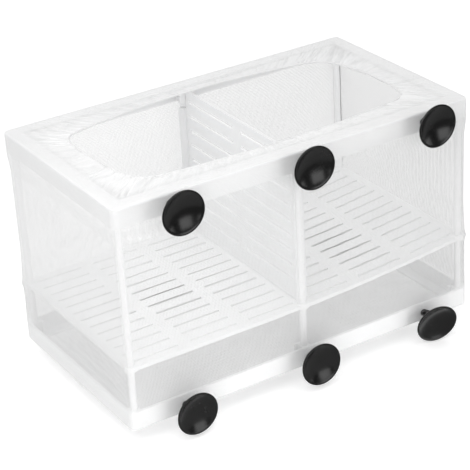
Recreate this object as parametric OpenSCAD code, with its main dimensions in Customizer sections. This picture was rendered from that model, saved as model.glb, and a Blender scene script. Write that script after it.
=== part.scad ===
// Fish breeding box: two rings on six posts, a sewn net bag drawn over them,
// a slotted tray that slides on the posts, a slotted divider and six suction cups.
// Millimetres. X runs left to right, -Y is the side with the cups, Z is up.
// The origin is the centre of the bag's floor, on its underside.

/* [Box] */
// Length of the rings, left to right
ring_l = 264; // [240:1:300]
// Depth of the rings, front to back
ring_w = 146.6; // [130:0.2:170]
// Height from the bottom ring's underside to the top ring's upper face
frame_h = 153; // [145:1:180]

/* [Rings] */
// Height of each ring
ring_h = 13; // [13:0.2:15]
// Width of each ring's closed face, and of the box round each post's foot
channel_w = 9.6; // [9:0.1:10.4]
// Thickness of the rings' walls
wall = 1.8; // [1.4:0.1:2]
// Radius of the rings' upright outer corners
corner_r = 4.5; // [4:0.1:5]
// Radius along the edges of each ring's closed face
edge_r = 1.5; // [0.8:0.1:1.7]

/* [Posts] */
// Diameter of a post
post_d = 4.6; // [4.2:0.1:4.8]
// Depth of the socket that each end of a post stands in
socket_depth = 3; // [2.4:0.1:3.2]
// Radial clearance of a post in its socket
socket_clear = 0.05; // [0.02:0.01:0.1]
// Thickness of plastic over the blind end of a socket
socket_floor = 0.4; // [0.2:0.1:0.5]

/* [Tray] */
// Height of the flat part of the tray above the box's underside
tray_z = 41.5; // [30:0.5:60]
// Thickness of the tray
tray_t = 2.4; // [1.8:0.1:3]
// Gap between the tray's edge and the netting
tray_gap = 2; // [1.6:0.1:3]
// Height that the tray's right end is pushed up its posts above the left end
tray_rise = 9.6; // [2:0.2:14]
// Distance from the box's middle to where the tray starts to bend, to its left
bend_start = 30; // [10:1:50]
// Height of the collars that ride on the posts
collar_h = 3.4; // [3:0.1:5]
// Thickness of a collar round its post
collar_wall = 2; // [1.4:0.1:2]
// Radial clearance of the tray's collars and the divider's edges on the posts
slide_clear = 0.1; // [0.06:0.01:0.2]
// Number of columns of slots, left to right
slot_columns = 6; // [2:2:8]
// Number of rows of slots, front to back
slot_rows = 13; // [5:2:15]
// Width of a slot
slot_w = 2; // [1:0.1:3]
// Solid width between one column of slots and the next
slot_bridge = 9; // [5:0.5:14]
// Solid width between the tray's ends and the nearest slots
slot_margin = 5.5; // [5:0.5:12]
// Distance from the tray's long edges to the middle of the nearest row
row_margin = 7.1; // [6:0.1:12]

/* [Divider] */
// Thickness of the divider
divider_t = 1.4; // [1.2:0.1:2]
// Thickness of the rim along the divider's upper edge
divider_rim_t = 2.2; // [2:0.1:2.6]
// Height of that rim
divider_rim_h = 2.4; // [1.6:0.1:3]
// Depth of the divider's upper edge below the bag's top
divider_drop = 3.9; // [3.2:0.1:12]
// Thickness of the half-round edges that hug the middle posts
edge_wall = 1.5; // [1.2:0.1:2]
// Number of rows of slots in the divider
divider_rows = 9; // [4:1:12]
// Height of the lowest row above the tray
divider_foot = 13.8; // [8:0.1:24]
// Distance of the highest row below the divider's upper edge
divider_head = 7.4; // [4:0.1:16]
// Width of a slot in the divider
divider_slot_w = 2.4; // [1.6:0.1:3]
// Width of the solid band down the divider's middle
divider_band = 10; // [4:0.5:24]
// Width of the solid strip outside the slots
divider_side = 3.4; // [2:0.1:8]

/* [Bag] */
// Thickness of the netting
net_t = 0.4; // [0.3:0.05:0.6]
// Width of the top web at the bag's ends, to the middle of its elastic
web_end = 26.4; // [20:0.2:34]
// Width of the top web along the bag's long sides, to the middle of its elastic
web_side = 20.2; // [15:0.2:24]
// Corner radius of the gathered opening
mouth_r = 34; // [20:1:40]
// Diameter of the elastic hem
hem_d = 1.4; // [1:0.1:1.6]
// Width of the sewn seam in the back right corner
seam_w = 1.1; // [0.8:0.1:1.2]

/* [Suction cups] */
// Diameter of a cup's lip
cup_d = 29; // [27:0.1:30]
// Distance from the ring's front face to the cup's lip
cup_reach = 14.6; // [14:0.1:17]
// Distance from a ring's ends to the middle of the outer cups
cup_margin = 38; // [33:1:45]
// Distance of a cup's middle from its ring's closed face
cup_inset = 6.4; // [5.4:0.1:6.5]
// Diameter of the neck that turns in the ring
neck_d = 3.6; // [3:0.1:4]
// Radial clearance of the neck in its hole
neck_clear = 0.08; // [0.05:0.01:0.1]
// Diameter of the bulb that holds the neck in the channel
bulb_d = 5.6; // [5:0.1:5.8]
// Length of the bulb
bulb_l = 2.4; // [1.6:0.1:3]
// Diameter of the stem between the bag and the cup's back
stem_d = 5; // [4.8:0.1:6]
// Length of the stem
stem_l = 3.6; // [2.5:0.1:4.5]
// Diameter of the cup's back where it meets the stem
back_d = 8; // [7:0.1:9]
// Depth of the hollow in the cup's face
dish = 3.8; // [3:0.1:4.2]
// Width of the flat lip round the hollow
lip_w = 1.2; // [0.8:0.1:1.6]
// Thickness of the rubber at the lip's outer edge
lip_t = 0.7; // [0.5:0.1:1.2]

/* [Hidden] */
$fn = 64;

// Gap between pieces that only rest on each other
rest_gap = 0.3;
// Overlap that fuses two shapes of one piece
fuse = 0.2;
// How far a cutter runs past the face that it cuts
past = 1;

bag_top = frame_h + 2 * net_t;
top_ring_z = net_t + frame_h - ring_h;
bottom_ring_top = net_t + ring_h;
post_x = ring_l / 2 - channel_w / 2;
post_y = ring_w / 2 - channel_w / 2;
post_h = top_ring_z - bottom_ring_top + 2 * socket_depth;
boss_w = channel_w - 2 * wall + 2 * fuse;
socket_r = post_d / 2 + socket_clear;
guide_r = post_d / 2 + slide_clear;
collar_r = guide_r + collar_wall;

tray_l = ring_l - 2 * tray_gap;
tray_w = ring_w - 2 * tray_gap;
bend_run = tray_l / 2 + bend_start;
bend_r = (bend_run * bend_run + tray_rise * tray_rise) / (2 * tray_rise);
bend_steps = 16;
slot_l = (tray_l - 2 * slot_margin - (slot_columns - 1) * slot_bridge) / slot_columns;
column_pitch = slot_l + slot_bridge;
row_pitch = (tray_w - 2 * row_margin) / (slot_rows - 1);
// Height of the tray's underside above its flat part, at a distance x from the middle
function lift(x) = x <= -bend_start ? 0 : bend_r - sqrt(bend_r * bend_r - pow(x + bend_start, 2));

divider_top = bag_top - divider_drop;
divider_z = tray_z + lift(0) + tray_t + rest_gap;
edge_z = tray_z + lift(0) + collar_h + rest_gap;
edge_r_out = guide_r + edge_wall;
// The divider's upper corners pass inside the top ring and stay clear of it when lifted
shoulder_z = top_ring_z - divider_drop;
divider_top_w = ring_w - 2 * channel_w - 2 * rest_gap;
divider_foot_w = 2 * (post_y - collar_r - rest_gap);
divider_slot_l = (divider_top_w - divider_band) / 2 - divider_side;
lowest_row_z = tray_z + lift(0) + tray_t + divider_foot;
divider_pitch = (divider_top - divider_head - lowest_row_z) / (divider_rows - 1);

mouth_l = ring_l + 2 * net_t - 2 * web_end;
mouth_w = ring_w + 2 * net_t - 2 * web_side;
hem_z = bag_top - hem_d / 2;

cup_pitch = ring_l / 2 - cup_margin;
neck_r = neck_d / 2;
hole_r = neck_r + neck_clear;
top_cup_z = bag_top - net_t - cup_inset;
bottom_cup_z = net_t + cup_inset;
// The hollow in a cup's face is part of a ball of this radius
dish_rim = cup_d / 2 - lip_w;
dish_r = (dish_rim * dish_rim + dish * dish) / (2 * dish);
// Share of the bulb's radius and length that stays outside its bevel
bulb_bevel = 0.6;
// Bevel between the stem and the cup's back, and the curve from there to the lip
back_bevel = 1;
flare_steps = 8;
flare_bend = 1.15;

module rounded(l, w, r) {
    square([l, w - 2 * r], center = true);
    square([l - 2 * r, w], center = true);
    for (x = [-1, 1], y = [-1, 1])
        translate([x * (l / 2 - r), y * (w / 2 - r)])
            circle(r);
}

// Outline of a ring's side, rounded where the closed face meets the walls
module shouldered(w) {
    translate([-w / 2 + edge_r, 0])
        square([w - 2 * edge_r, ring_h]);
    translate([-w / 2, edge_r])
        square([w, ring_h - edge_r + past]);
    for (x = [-1, 1])
        translate([x * (w / 2 - edge_r), edge_r])
            circle(edge_r);
}

// Where the inner wall is left out, between one post's foot and the next
module between_posts() {
    foot_w = channel_w + 2 * fuse;
    difference() {
        square([ring_l - 2 * channel_w + 2 * wall + 2 * fuse,
                ring_w - 2 * channel_w + 2 * wall + 2 * fuse], center = true);
        for (x = [-post_x, 0, post_x], y = [-post_y, post_y])
            translate([x, y])
                square(foot_w, center = true);
    }
}

// The closed face lies at z = 0. The outer wall goes all round, and the inner one stands
// only at the posts.
module channel() {
    inner_l = ring_l - 2 * channel_w;
    inner_w = ring_w - 2 * channel_w;
    difference() {
        intersection() {
            linear_extrude(ring_h)
                difference() {
                    rounded(ring_l, ring_w, corner_r);
                    square([inner_l, inner_w], center = true);
                }
            rotate([90, 0, 0])
                linear_extrude(ring_w + 2 * past, center = true)
                    shouldered(ring_l);
            rotate([90, 0, 90])
                linear_extrude(ring_l + 2 * past, center = true)
                    shouldered(ring_w);
        }
        translate([0, 0, wall])
            linear_extrude(ring_h)
                difference() {
                    rounded(ring_l - 2 * wall, ring_w - 2 * wall, corner_r - wall);
                    square([inner_l + 2 * wall, inner_w + 2 * wall], center = true);
                }
        translate([0, 0, wall])
            linear_extrude(ring_h)
                between_posts();
    }
}

// A ring with a socket for each post and a hole for each cup
module ring() {
    boss_h = socket_depth + socket_floor;
    difference() {
        union() {
            channel();
            for (x = [-post_x, 0, post_x], y = [-post_y, post_y])
                translate([x - boss_w / 2, y - boss_w / 2, ring_h - boss_h])
                    cube([boss_w, boss_w, boss_h]);
        }
        for (x = [-post_x, 0, post_x], y = [-post_y, post_y])
            translate([x, y, ring_h - socket_depth])
                cylinder(r = socket_r, h = socket_depth + past);
        for (x = [-cup_pitch, 0, cup_pitch])
            translate([x, -ring_w / 2 - past, cup_inset])
                rotate([-90, 0, 0])
                    cylinder(r = hole_r, h = wall + fuse + past);
    }
}

module top_frame() {
    color("white")
        translate([0, 0, bag_top - net_t])
            mirror([0, 0, 1])
                ring();
}

module bottom_frame() {
    color("white")
        translate([0, 0, net_t])
            ring();
}

module post(x, y) {
    color("whitesmoke")
        translate([x, y, bottom_ring_top - socket_depth])
            cylinder(d = post_d, h = post_h);
}

// Side outline of the tray: flat at the left, then an arc up to the right end
module tray_side() {
    run = [for (i = [0 : bend_steps]) -bend_start + i * bend_run / bend_steps];
    under = concat([[-tray_l / 2, 0]], [for (x = run) [x, lift(x)]]);
    over = [for (i = [len(under) - 1 : -1 : 0]) under[i] + [0, tray_t]];
    polygon(concat(under, over));
}

module tray_slots() {
    for (i = [0 : slot_columns - 1], j = [0 : slot_rows - 1])
        translate([(i - (slot_columns - 1) / 2) * column_pitch, (j - (slot_rows - 1) / 2) * row_pitch])
            square([slot_l, slot_w], center = true);
}

module breeding_tray() {
    color("ghostwhite")
        translate([0, 0, tray_z])
            difference() {
                union() {
                    difference() {
                        rotate([90, 0, 0])
                            linear_extrude(tray_w, center = true)
                                tray_side();
                        translate([0, 0, -past])
                            linear_extrude(tray_rise + tray_t + 2 * past)
                                tray_slots();
                    }
                    for (x = [-post_x, 0, post_x], y = [-post_y, post_y])
                        translate([x, y, lift(x)])
                            cylinder(r = collar_r, h = collar_h);
                }
                for (x = [-post_x, 0, post_x], y = [-post_y, post_y])
                    translate([x, y, -past])
                        cylinder(r = guide_r, h = tray_rise + collar_h + 2 * past);
            }
}

// Half-round edge of the divider, open towards its post
module hugging_edge() {
    intersection() {
        difference() {
            circle(edge_r_out);
            circle(guide_r);
        }
        translate([-edge_r_out - past, -edge_r_out - past])
            square([2 * (edge_r_out + past), edge_r_out + past]);
    }
}

module divider_slots() {
    y = divider_band / 2 + divider_slot_l / 2;
    for (i = [0 : divider_rows - 1], side = [-1, 1])
        translate([0, side * y, lowest_row_z + i * divider_pitch])
            cube([divider_t + 2 * past, divider_slot_l, divider_slot_w], center = true);
}

module divider() {
    edge_y = post_y - guide_r - edge_wall / 2;
    color("aliceblue")
        difference() {
            union() {
                translate([-divider_t / 2, -divider_foot_w / 2, divider_z])
                    cube([divider_t, divider_foot_w, edge_z - divider_z + fuse]);
                translate([-divider_t / 2, -edge_y, edge_z])
                    cube([divider_t, 2 * edge_y, shoulder_z - edge_z]);
                translate([-divider_t / 2, -divider_top_w / 2, shoulder_z - fuse])
                    cube([divider_t, divider_top_w, divider_top - shoulder_z + fuse]);
                translate([-divider_rim_t / 2, -divider_top_w / 2, divider_top - divider_rim_h])
                    cube([divider_rim_t, divider_top_w, divider_rim_h]);
                translate([0, post_y, edge_z])
                    linear_extrude(shoulder_z - edge_z)
                        hugging_edge();
                translate([0, -post_y, edge_z])
                    linear_extrude(shoulder_z - edge_z)
                        rotate(180)
                            hugging_edge();
            }
            divider_slots();
        }
}

module net_front() {
    color("white", 0.4)
        difference() {
            translate([-ring_l / 2 - net_t, -ring_w / 2 - net_t, 0])
                cube([ring_l + 2 * net_t, net_t, bag_top]);
            for (x = [-cup_pitch, 0, cup_pitch], z = [bottom_cup_z, top_cup_z])
                translate([x, -ring_w / 2 - net_t - past, z])
                    rotate([-90, 0, 0])
                        cylinder(r = hole_r, h = net_t + 2 * past);
        }
}

module net_back() {
    color("white", 0.4)
        translate([-ring_l / 2 - net_t, ring_w / 2, 0])
            cube([ring_l + 2 * net_t, net_t, bag_top]);
}

module net_side(x) {
    color("white", 0.4)
        translate([x, -ring_w / 2, 0])
            cube([net_t, ring_w, bag_top]);
}

module net_floor() {
    color("white", 0.4)
        translate([-ring_l / 2, -ring_w / 2, 0])
            cube([ring_l, ring_w, net_t]);
}

module net_collar() {
    color("white", 0.4)
        translate([0, 0, bag_top - net_t])
            linear_extrude(net_t)
                difference() {
                    square([ring_l, ring_w], center = true);
                    rounded(mouth_l + hem_d, mouth_w + hem_d, mouth_r + hem_d / 2);
                }
}

module elastic_hem() {
    straight_l = mouth_l - 2 * mouth_r;
    straight_w = mouth_w - 2 * mouth_r;
    color("white")
        translate([0, 0, hem_z]) {
            for (y = [-1, 1])
                translate([-straight_l / 2, y * mouth_w / 2, 0])
                    rotate([0, 90, 0])
                        cylinder(d = hem_d, h = straight_l);
            for (x = [-1, 1])
                translate([x * mouth_l / 2, straight_w / 2, 0])
                    rotate([90, 0, 0])
                        cylinder(d = hem_d, h = straight_w);
            for (i = [0 : 3])
                let (x = i == 0 || i == 3 ? 1 : -1, y = i < 2 ? 1 : -1)
                    translate([x * straight_l / 2, y * straight_w / 2, 0])
                        rotate(90 * i)
                            rotate_extrude(angle = 90)
                                translate([mouth_r, 0])
                                    circle(d = hem_d);
        }
}

module corner_seam() {
    color("silver")
        translate([ring_l / 2 - seam_w, ring_w / 2 - seam_w, bottom_ring_top])
            cube([seam_w, seam_w, top_ring_z - bottom_ring_top]);
}

// Half section of a cup from its bulb to its lip, with its face still flat
module cup_section() {
    lip_r = cup_d / 2;
    bulb_r = bulb_d / 2;
    back_r = back_d / 2;
    bulb_top = -wall - neck_clear;
    stem_from = net_t + neck_clear;
    back_from = stem_from + stem_l;
    flare_h = cup_reach - lip_t - back_from - back_bevel;
    flare = [for (i = [1 : flare_steps])
        [back_r + (lip_r - back_r) * i / flare_steps,
         cup_reach - lip_t - flare_h * pow(1 - i / flare_steps, flare_bend)]];
    polygon(concat([
        [0, bulb_top - bulb_l],
        [bulb_bevel * bulb_r, bulb_top - bulb_l],
        [bulb_r, bulb_top - bulb_bevel * bulb_l],
        [bulb_r, bulb_top],
        [neck_r, bulb_top],
        [neck_r, stem_from],
        [stem_d / 2, stem_from],
        [stem_d / 2, back_from],
        [back_r - back_bevel, back_from],
        [back_r, back_from + back_bevel]
    ], flare, [
        [lip_r, cup_reach],
        [0, cup_reach]
    ]));
}

module suction_cup(x, z) {
    color("black")
        translate([x, -ring_w / 2, z])
            rotate([90, 0, 0])
                difference() {
                    rotate_extrude()
                        cup_section();
                    translate([0, 0, cup_reach - dish + dish_r])
                        sphere(r = dish_r, $fn = 256);
                }
}

top_frame();
bottom_frame();
post(-post_x, -post_y);  // post_front_left
post(0, -post_y);  // post_front_middle
post(post_x, -post_y);  // post_front_right
post(-post_x, post_y);  // post_back_left
post(0, post_y);  // post_back_middle
post(post_x, post_y);  // post_back_right
breeding_tray();
divider();
net_front();
net_back();
net_side(-ring_l / 2 - net_t);  // net_left
net_side(ring_l / 2);  // net_right
net_floor();
net_collar();
elastic_hem();
corner_seam();
suction_cup(-cup_pitch, top_cup_z);  // suction_cup_top_left
suction_cup(0, top_cup_z);  // suction_cup_top_middle
suction_cup(cup_pitch, top_cup_z);  // suction_cup_top_right
suction_cup(-cup_pitch, bottom_cup_z);  // suction_cup_bottom_left
suction_cup(0, bottom_cup_z);  // suction_cup_bottom_middle
suction_cup(cup_pitch, bottom_cup_z);  // suction_cup_bottom_right
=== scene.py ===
"""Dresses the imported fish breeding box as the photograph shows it.

The rings, posts, tray and divider keep their solids and get moulded-plastic materials.
The sewn net bag, its elastic hem, its corner seam and the six suction cups are built here
in mesh code and stand for their solids. Sizes in the classes are millimetres.
"""

import logging
import math
from dataclasses import dataclass
from enum import Enum
from typing import NamedTuple

import bmesh
import bpy
from mathutils import Euler, Matrix, Vector, noise


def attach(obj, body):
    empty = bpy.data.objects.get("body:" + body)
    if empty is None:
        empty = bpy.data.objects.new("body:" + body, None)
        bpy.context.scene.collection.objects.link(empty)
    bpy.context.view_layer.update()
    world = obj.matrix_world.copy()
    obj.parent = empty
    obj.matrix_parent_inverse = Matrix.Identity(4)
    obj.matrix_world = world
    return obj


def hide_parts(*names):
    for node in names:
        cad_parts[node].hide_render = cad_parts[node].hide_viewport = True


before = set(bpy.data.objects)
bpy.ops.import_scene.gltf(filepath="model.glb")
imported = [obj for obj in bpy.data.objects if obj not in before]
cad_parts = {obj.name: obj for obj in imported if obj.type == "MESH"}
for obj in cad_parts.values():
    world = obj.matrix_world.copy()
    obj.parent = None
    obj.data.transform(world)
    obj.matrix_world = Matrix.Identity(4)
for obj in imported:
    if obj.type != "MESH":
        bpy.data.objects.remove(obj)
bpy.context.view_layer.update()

MM = 0.001
LOG = logging.getLogger("breeding_box")


def smoothstep(low: float, high: float, value: float) -> float:
    """Eases from 0 where value is low to 1 where it is high."""
    t = min(1.0, max(0.0, (value - low) / (high - low)))
    return t * t * (3 - 2 * t)


def mix(a: float, b: float, share: float) -> float:
    """Goes from a to b as share goes from 0 to 1."""
    return a + (b - a) * share


def ripple(x: float, y: float, seed: float) -> float:
    """Smooth noise of about -1 to 1 that is the same on each run."""
    return noise.noise(Vector((x, y, seed)))


def bell(away: float, width: float) -> float:
    """A smooth hump, 1 where away is 0 and near 0 beyond twice the width."""
    return math.exp(-((away / width) ** 2))


def way_to(azimuth: float, elevation: float) -> Vector:
    """Unit vector from the box to a place that is given by two angles in radians."""
    level = math.cos(elevation)
    return Vector((math.sin(azimuth) * level, -math.cos(azimuth) * level, math.sin(elevation)))


def add_object(name: str, data: object) -> bpy.types.Object:
    """Puts a new object in the scene.

    Args:
        name: Its name.
        data: Its mesh, lamp or camera.

    Returns:
        The object.
    """
    made = bpy.data.objects.new(name, data)
    bpy.context.scene.collection.objects.link(made)
    return made


def add_face(
    name: str, corners: list[tuple[float, float, float]], material: bpy.types.Material
) -> bpy.types.Object:
    """Puts one four-sided face in the scene.

    Args:
        name: Its name.
        corners: Its four corners, in metres.
        material: Its material.

    Returns:
        The object.
    """
    mesh = bpy.data.meshes.new(name)
    mesh.from_pydata(corners, [], [(0, 1, 2, 3)])
    mesh.materials.append(material)
    return add_object(name, mesh)


def add_lamp(name: str, width: float, height: float, radiance: float) -> bpy.types.Object:
    """Puts a rectangular lamp in the scene, out of the camera's sight.

    Args:
        name: Its name.
        width: Its width in metres.
        height: Its height in metres.
        radiance: How bright its face is.

    Returns:
        The lamp.
    """
    data = bpy.data.lights.new(name, "AREA")
    data.shape, data.size, data.size_y = "RECTANGLE", width, height
    data.energy = radiance * math.pi * width * height
    lamp = add_object(name, data)
    lamp.visible_camera = False
    return lamp


@dataclass(frozen=True)
class PhotoCamera:
    """The camera that took the photograph, as fitted to the box's corners."""

    azimuth: float = -30.957
    elevation: float = 27.151
    roll: float = -3.385
    distance: float = 1145.785
    aim_right: float = 4.931
    aim_up: float = 8.221
    aim_height: float = 75.0
    focal_px: float = 1722.402
    frame_px: float = 470.0
    sensor: float = 36.0
    sees_from: float = 0.05
    sees_to: float = 20.0

    def place(self) -> None:
        """Makes the camera and sets it as the scene's."""
        a, e, r = (math.radians(v) for v in (self.azimuth, self.elevation, self.roll))
        back = way_to(a, e)
        level = (-back).cross(Vector((0, 0, 1))).normalized()
        rise = level.cross(-back)
        right = math.cos(r) * level + math.sin(r) * rise
        up = math.cos(r) * rise - math.sin(r) * level
        place = Vector((0, 0, self.aim_height))
        place += back * self.distance - right * self.aim_right - up * self.aim_up
        data = bpy.data.cameras.new("photo_camera")
        data.sensor_width = self.sensor
        data.lens = self.focal_px / self.frame_px * self.sensor
        data.clip_start, data.clip_end = self.sees_from, self.sees_to
        camera = add_object("photo_camera", data)
        turn = Matrix((right, up, back)).transposed().to_4x4()
        camera.matrix_world = Matrix.Translation(place * MM) @ turn
        bpy.context.scene.camera = camera


class ShaderTree:
    """Adds and links the nodes of one shader tree."""

    def __init__(self, tree: bpy.types.NodeTree) -> None:
        """Keeps the tree and empties it."""
        self.tree = tree
        tree.nodes.clear()

    def add(self, kind: str, **settings: object) -> bpy.types.Node:
        """Adds a node and sets it up.

        Args:
            kind: Node type without its ShaderNode prefix.
            settings: Properties of the node, or default values of its input sockets.

        Returns:
            The new node.
        """
        node = self.tree.nodes.new(kind if kind.startswith("Node") else "ShaderNode" + kind)
        for name, value in settings.items():
            if hasattr(node, name):
                setattr(node, name, value)
            else:
                node.inputs[name.replace("_", " ")].default_value = value
        return node

    def link(self, source: bpy.types.NodeSocket, target: bpy.types.NodeSocket) -> None:
        """Links an output to an input."""
        self.tree.links.new(source, target)

    def feed(self, socket: bpy.types.NodeSocket, value: object) -> None:
        """Gives an input its value.

        Args:
            socket: The input.
            value: An output to link to it, or a number.
        """
        if isinstance(value, bpy.types.NodeSocket):
            self.link(value, socket)
        else:
            socket.default_value = value

    def math(self, operation: str, a: object, b: object = 0.0, clamp: bool = False) -> object:
        """Adds a Math node.

        Args:
            operation: Name of the operation.
            a: First input, a socket or a number.
            b: Second input, a socket or a number.
            clamp: Keeps the result from 0 to 1.

        Returns:
            The output socket.
        """
        node = self.add("Math", operation=operation, use_clamp=clamp)
        self.feed(node.inputs[0], a)
        self.feed(node.inputs[1], b)
        return node.outputs[0]

    def ease(self, value: object, low: object, high: object) -> object:
        """Adds a smooth step from 0 at low to 1 at high.

        Args:
            value: Socket to ease.
            low: Where the step starts, a socket or a number.
            high: Where the step ends, a socket or a number.

        Returns:
            The output socket.
        """
        node = self.add("MapRange", interpolation_type="SMOOTHSTEP")
        self.feed(node.inputs["Value"], value)
        self.feed(node.inputs["From Min"], low)
        self.feed(node.inputs["From Max"], high)
        return node.outputs["Result"]

    def blend(self, share: object, a: object, b: object) -> object:
        """Adds a colour mix.

        Args:
            share: Share of b, a socket or a number.
            a: First colour.
            b: Second colour.

        Returns:
            The output socket.
        """
        node = self.add("Mix", data_type="RGBA")
        self.feed(node.inputs["Factor"], share)
        self.feed(node.inputs["A"], a)
        self.feed(node.inputs["B"], b)
        return node.outputs["Result"]

    def axes(self, vector: object) -> object:
        """Splits a vector.

        Args:
            vector: Socket with the vector.

        Returns:
            The sockets of its x, y and z.
        """
        node = self.add("SeparateXYZ")
        self.link(vector, node.inputs[0])
        return node.outputs

    def texture(self, place: object, **settings: object) -> bpy.types.Node:
        """Adds a noise texture.

        Args:
            place: Socket with the coordinates that it follows.
            settings: Its settings, as for add.

        Returns:
            The new node.
        """
        node = self.add("TexNoise", **settings)
        self.link(place, node.inputs["Vector"])
        return node

    def choose(self, share: object, *shaders: object) -> object:
        """Adds a mix of two shaders.

        Args:
            share: Share of the second shader.
            shaders: The two shaders' sockets.

        Returns:
            The output socket.
        """
        node = self.add("MixShader")
        for socket, source in zip(node.inputs, (share, *shaders)):
            self.link(source, socket)
        return node.outputs[0]

    def end(self, shader: object, kind: str = "OutputMaterial") -> None:
        """Links the shader to a new output node."""
        self.link(shader, self.add(kind).inputs["Surface"])


def new_material(name: str) -> tuple[bpy.types.Material, ShaderTree]:
    """Makes a material.

    Args:
        name: Its name.

    Returns:
        The material and its empty tree.
    """
    made = bpy.data.materials.new(name)
    made.use_nodes = True
    return made, ShaderTree(made.node_tree)


def grey(value: float, blue: float = 0.0) -> tuple[float, float, float, float]:
    """A neutral colour, cooler as blue grows."""
    return (value - blue, value, value + blue, 1.0)


class EffectGroup:
    """A shader node group that is built once and placed in several materials."""

    name = "effect"
    inputs: dict[str, float] = {}
    outputs: tuple[str, ...] = ()

    @classmethod
    def tree(cls) -> bpy.types.NodeTree:
        """Builds the group, or finds it if it is there.

        Returns:
            The group's node tree.
        """
        found = bpy.data.node_groups.get(cls.name)
        if found:
            return found
        tree = bpy.data.node_groups.new(cls.name, "ShaderNodeTree")
        new_socket, number = tree.interface.new_socket, "NodeSocketFloat"
        new_socket(name="Place", in_out="INPUT", socket_type="NodeSocketVector")
        for name, value in cls.inputs.items():
            new_socket(name=name, in_out="INPUT", socket_type=number).default_value = value
        for name in cls.outputs:
            new_socket(name=name, in_out="OUTPUT", socket_type=number)
        nodes = ShaderTree(tree)
        into, out = nodes.add("NodeGroupInput"), nodes.add("NodeGroupOutput")
        cls.build(nodes, into, out)
        return tree

    @classmethod
    def build(cls, nodes: ShaderTree, into: bpy.types.Node, out: bpy.types.Node) -> None:
        """Fills the group; each effect has its own."""

    @classmethod
    def put(cls, nodes: ShaderTree, place: object, **values: object) -> bpy.types.Node:
        """Places the group in a material.

        Args:
            nodes: The material's tree.
            place: Socket with the coordinates that the effect follows.
            values: Values of the group's inputs, each a number or a socket.

        Returns:
            The group node.
        """
        node = nodes.add("Group")
        node.node_tree = cls.tree()
        nodes.link(place, node.inputs["Place"])
        for name, value in values.items():
            nodes.feed(node.inputs[name.replace("_", " ")], value)
        return node


class NetThreads(EffectGroup):
    """Fine square netting with a knot at each crossing, over coordinates in millimetres."""

    name = "net_threads"
    inputs = {"Pitch": 1.0, "Thread": 0.12, "Edge": 0.04, "Waver": 0.2}
    outputs = ("Mask", "Height")
    knot_size = 1.7

    @classmethod
    def build(cls, nodes: ShaderTree, into: bpy.types.Node, out: bpy.types.Node) -> None:
        """Fills the group with two sets of threads that waver a little.

        Args:
            nodes: The group's tree.
            into: Its input node.
            out: Its output node.
        """
        drift = nodes.texture(into.outputs["Place"], Scale=0.3, Detail=2.0, Roughness=0.6)
        centred = nodes.add("VectorMath", operation="SUBTRACT")
        nodes.link(drift.outputs["Color"], centred.inputs[0])
        centred.inputs[1].default_value = (0.5, 0.5, 0.5)
        scaled = nodes.add("VectorMath", operation="SCALE")
        nodes.link(centred.outputs[0], scaled.inputs[0])
        nodes.link(into.outputs["Waver"], scaled.inputs["Scale"])
        moved = nodes.add("VectorMath", operation="ADD")
        nodes.link(into.outputs["Place"], moved.inputs[0])
        nodes.link(scaled.outputs[0], moved.inputs[1])
        axes = nodes.axes(moved.outputs[0])
        half = nodes.math("MULTIPLY", into.outputs["Pitch"], 0.5)
        outer = nodes.math("ADD", into.outputs["Thread"], into.outputs["Edge"])
        inner = nodes.math("SUBTRACT", into.outputs["Thread"], into.outputs["Edge"])
        gaps = [nodes.math("PINGPONG", axes[k], half) for k in (0, 1)]
        threads = [nodes.ease(gap, outer, inner) for gap in gaps]
        squares = [nodes.math("MULTIPLY", gap, gap) for gap in gaps]
        away = nodes.math("SQRT", nodes.math("ADD", *squares))
        knot_out, knot_in = (nodes.math("MULTIPLY", v, cls.knot_size) for v in (outer, inner))
        knot = nodes.ease(away, knot_out, knot_in)
        both = nodes.math("MAXIMUM", *threads)
        nodes.link(nodes.math("MAXIMUM", both, knot), out.inputs["Mask"])
        nodes.link(nodes.math("ADD", nodes.math("ADD", *threads), knot), out.inputs["Height"])


class MouldMarks(EffectGroup):
    """Fine moulding grain, faint flow lines and light scuffs, over coordinates in metres."""

    name = "mould_marks"
    inputs = {"Grain": 900.0, "Flow": 26.0, "Scuffs": 1.0}
    outputs = ("Shade", "Rub", "Height")

    @classmethod
    def build(cls, nodes: ShaderTree, into: bpy.types.Node, out: bpy.types.Node) -> None:
        """Fills the group with three layers of noise.

        Args:
            nodes: The group's tree.
            into: Its input node.
            out: Its output node.
        """
        place = into.outputs["Place"]
        grain = nodes.texture(place, Detail=3.0, Roughness=0.6)
        flow = nodes.texture(place, Detail=4.0, Roughness=0.5, Distortion=0.6)
        rub = nodes.texture(place, Scale=60.0, Detail=6.0, Roughness=0.7)
        nodes.link(into.outputs["Grain"], grain.inputs["Scale"])
        nodes.link(into.outputs["Flow"], flow.inputs["Scale"])
        scuffed = nodes.ease(rub.outputs[0], 0.52, 0.78)
        nodes.link(nodes.math("MULTIPLY", scuffed, into.outputs["Scuffs"]), out.inputs["Rub"])
        nodes.link(nodes.ease(flow.outputs[0], 0.25, 0.75), out.inputs["Shade"])
        low = nodes.math("MULTIPLY", flow.outputs[0], 0.6)
        nodes.link(nodes.math("ADD", grain.outputs[0], low), out.inputs["Height"])


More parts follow.
